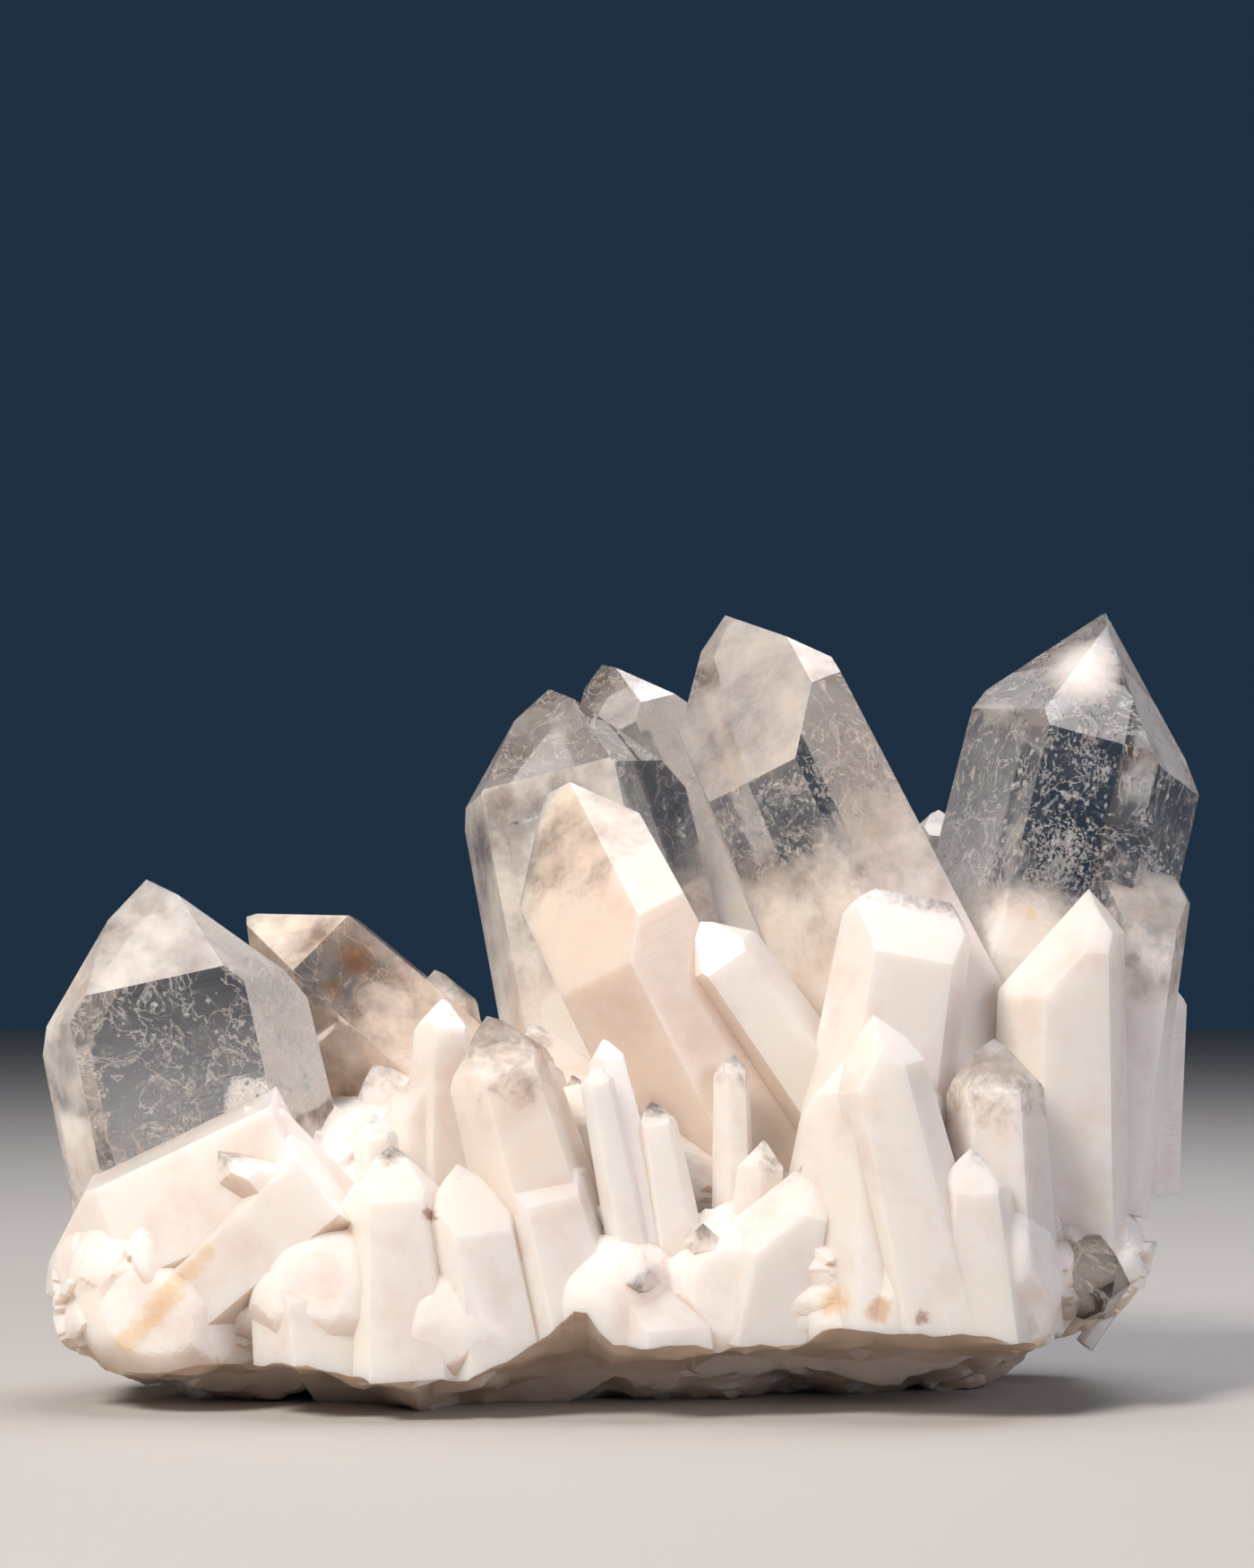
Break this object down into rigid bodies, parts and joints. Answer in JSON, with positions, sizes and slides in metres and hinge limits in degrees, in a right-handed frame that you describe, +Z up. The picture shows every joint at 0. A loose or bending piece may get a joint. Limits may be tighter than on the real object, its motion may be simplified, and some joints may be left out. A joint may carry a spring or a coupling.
{
  "type": "quartz crystal cluster",
  "caption": "Clear to milky quartz points grown together on a rough-broken milky base that is cut flat underneath.",
  "frame": {"origin": "on the flat cut that the cluster stands on, under the middle of its bounding box", "axes": "+X along the longest way across to the tall point at the right, +Y to the back, +Z up"},
  "size_m": [0.141, 0.0808, 0.0951],
  "materials": {
    "quartz": "glassy growth faces, clear towards the tips and milky cream below, rough broken base"
  },
  "bodies": {
    "root": {"quartz_cluster": "quartz"}
  },
  "joints": []
}
